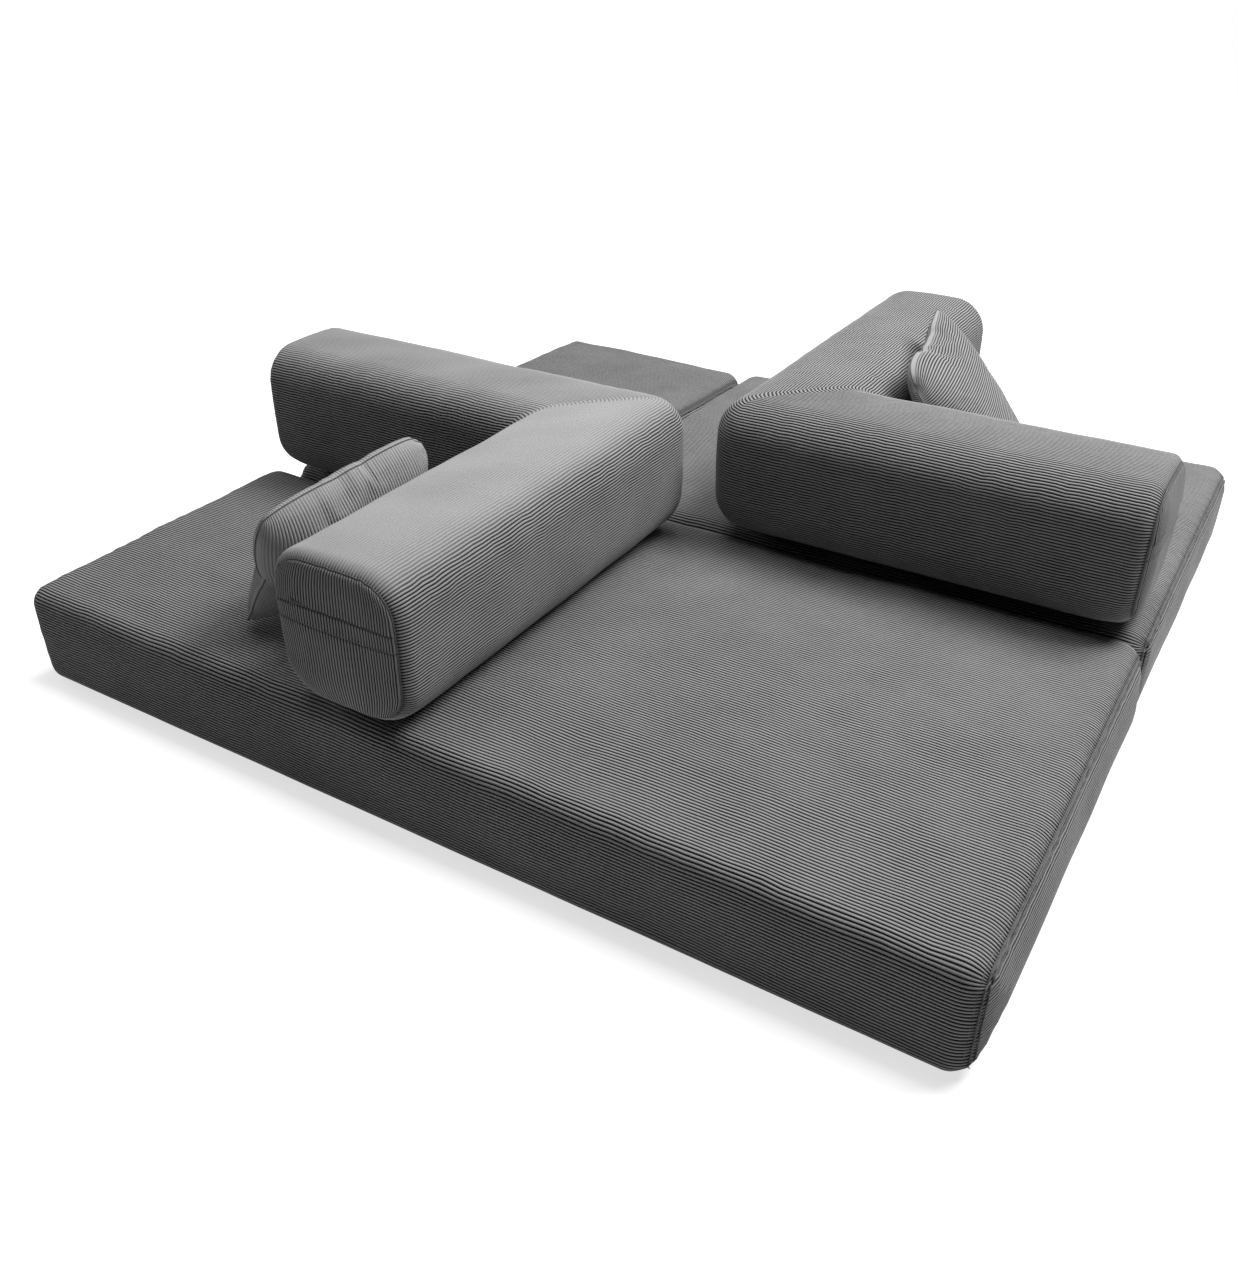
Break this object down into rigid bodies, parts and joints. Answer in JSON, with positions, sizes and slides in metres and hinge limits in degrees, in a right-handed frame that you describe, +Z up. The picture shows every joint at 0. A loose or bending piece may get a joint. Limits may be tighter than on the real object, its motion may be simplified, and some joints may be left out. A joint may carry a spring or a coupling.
{
  "type": "modular floor sofa",
  "caption": "Low modular floor sofa in grey corduroy: foam platforms on the floor, L-shaped loose back bolsters set corner to corner, and scatter pillows.",
  "frame": {"origin": "on the floor, under the middle of the whole outline", "axes": "+X to the right along the front platform's front edge, +Y from the front edge towards the rear platforms, +Z up"},
  "size_m": [1.92, 1.878, 0.5632],
  "materials": {
    "corduroy": "jumbo cord, cut pile, dark warm grey",
    "underside_cloth": "plain black non-slip cloth",
    "foam_firm": "firm open-cell foam",
    "foam_soft": "soft open-cell foam",
    "pillow_fill": "white non-woven case with fibre fill",
    "zip_tape": "woven black tape with nylon coil",
    "zip_slider": "black"
  },
  "bodies": {
    "front_platform": {"front_platform_cover_wrap": "corduroy", "front_platform_cover_side_left": "corduroy", "front_platform_cover_side_right": "corduroy", "front_platform_underside_cloth": "underside_cloth", "front_platform_foam_firm_layer": "foam_firm", "front_platform_foam_soft_layer": "foam_soft", "front_platform_zip_tape": "zip_tape"},
    "front_platform_zip": {"front_platform_zip_slider": "zip_slider"},
    "rear_right_platform": {"rear_right_platform_cover_wrap": "corduroy", "rear_right_platform_cover_side_left": "corduroy", "rear_right_platform_cover_side_right": "corduroy", "rear_right_platform_underside_cloth": "underside_cloth", "rear_right_platform_foam_firm_layer": "foam_firm", "rear_right_platform_foam_soft_layer": "foam_soft", "rear_right_platform_zip_tape": "zip_tape"},
    "rear_right_platform_zip": {"rear_right_platform_zip_slider": "zip_slider"},
    "rear_left_platform": {"rear_left_platform_cover_wrap": "corduroy", "rear_left_platform_cover_side_left": "corduroy", "rear_left_platform_cover_side_right": "corduroy", "rear_left_platform_underside_cloth": "underside_cloth", "rear_left_platform_foam_firm_layer": "foam_firm", "rear_left_platform_foam_soft_layer": "foam_soft", "rear_left_platform_zip_tape": "zip_tape"},
    "rear_left_platform_zip": {"rear_left_platform_zip_slider": "zip_slider"},
    "left_bolster": {"left_bolster_cover_wrap": "corduroy", "left_bolster_cover_end_x": "corduroy", "left_bolster_cover_end_y": "corduroy", "left_bolster_underside_cloth": "underside_cloth", "left_bolster_foam_long_block": "foam_soft", "left_bolster_foam_short_block": "foam_soft", "left_bolster_zip_tape": "zip_tape"},
    "left_bolster_zip": {"left_bolster_zip_slider": "zip_slider"},
    "right_bolster": {"right_bolster_cover_wrap": "corduroy", "right_bolster_cover_end_x": "corduroy", "right_bolster_cover_end_y": "corduroy", "right_bolster_underside_cloth": "underside_cloth", "right_bolster_foam_long_block": "foam_soft", "right_bolster_foam_short_block": "foam_soft", "right_bolster_zip_tape": "zip_tape"},
    "right_bolster_zip": {"right_bolster_zip_slider": "zip_slider"},
    "left_pillow": {"left_pillow_cover_face": "corduroy", "left_pillow_cover_back": "corduroy", "left_pillow_insert": "pillow_fill"},
    "right_pillow": {"right_pillow_cover_face": "corduroy", "right_pillow_cover_back": "corduroy", "right_pillow_insert": "pillow_fill"}
  },
  "joints": [
    {"name": "rear_right_platform_slide", "type": "slide", "parent": "front_platform", "child": "rear_right_platform", "axis": [0, 1, 0], "range_m": [0, 0.4]},
    {"name": "rear_left_platform_slide", "type": "slide", "parent": "front_platform", "child": "rear_left_platform", "axis": [-1, 0, 0], "range_m": [0, 0.4]},
    {"name": "left_bolster_lift", "type": "slide", "parent": "front_platform", "child": "left_bolster", "axis": [0, 0, 1], "range_m": [0, 0.35]},
    {"name": "right_bolster_lift", "type": "slide", "parent": "rear_right_platform", "child": "right_bolster", "axis": [0, 0, 1], "range_m": [0, 0.35]},
    {"name": "left_pillow_lift", "type": "slide", "parent": "left_bolster", "child": "left_pillow", "axis": [0, 0, 1], "range_m": [0, 0.3]},
    {"name": "right_pillow_lift", "type": "slide", "parent": "right_bolster", "child": "right_pillow", "axis": [0, 0, 1], "range_m": [0, 0.3]},
    {"name": "front_platform_zip_slide", "type": "slide", "parent": "front_platform", "child": "front_platform_zip", "axis": [-1, 0, 0], "range_m": [0, 0.96]},
    {"name": "rear_right_platform_zip_slide", "type": "slide", "parent": "rear_right_platform", "child": "rear_right_platform_zip", "axis": [-1, 0, 0], "range_m": [0, 0.96]},
    {"name": "rear_left_platform_zip_slide", "type": "slide", "parent": "rear_left_platform", "child": "rear_left_platform_zip", "axis": [-0.9995, 0.0314, 0], "range_m": [0, 0.298]},
    {"name": "left_bolster_zip_slide", "type": "slide", "parent": "left_bolster", "child": "left_bolster_zip", "axis": [1, 0, 0], "range_m": [0, 0.136]},
    {"name": "right_bolster_zip_slide", "type": "slide", "parent": "right_bolster", "child": "right_bolster_zip", "axis": [0, 1, 0], "range_m": [0, 0.136]}
  ]
}
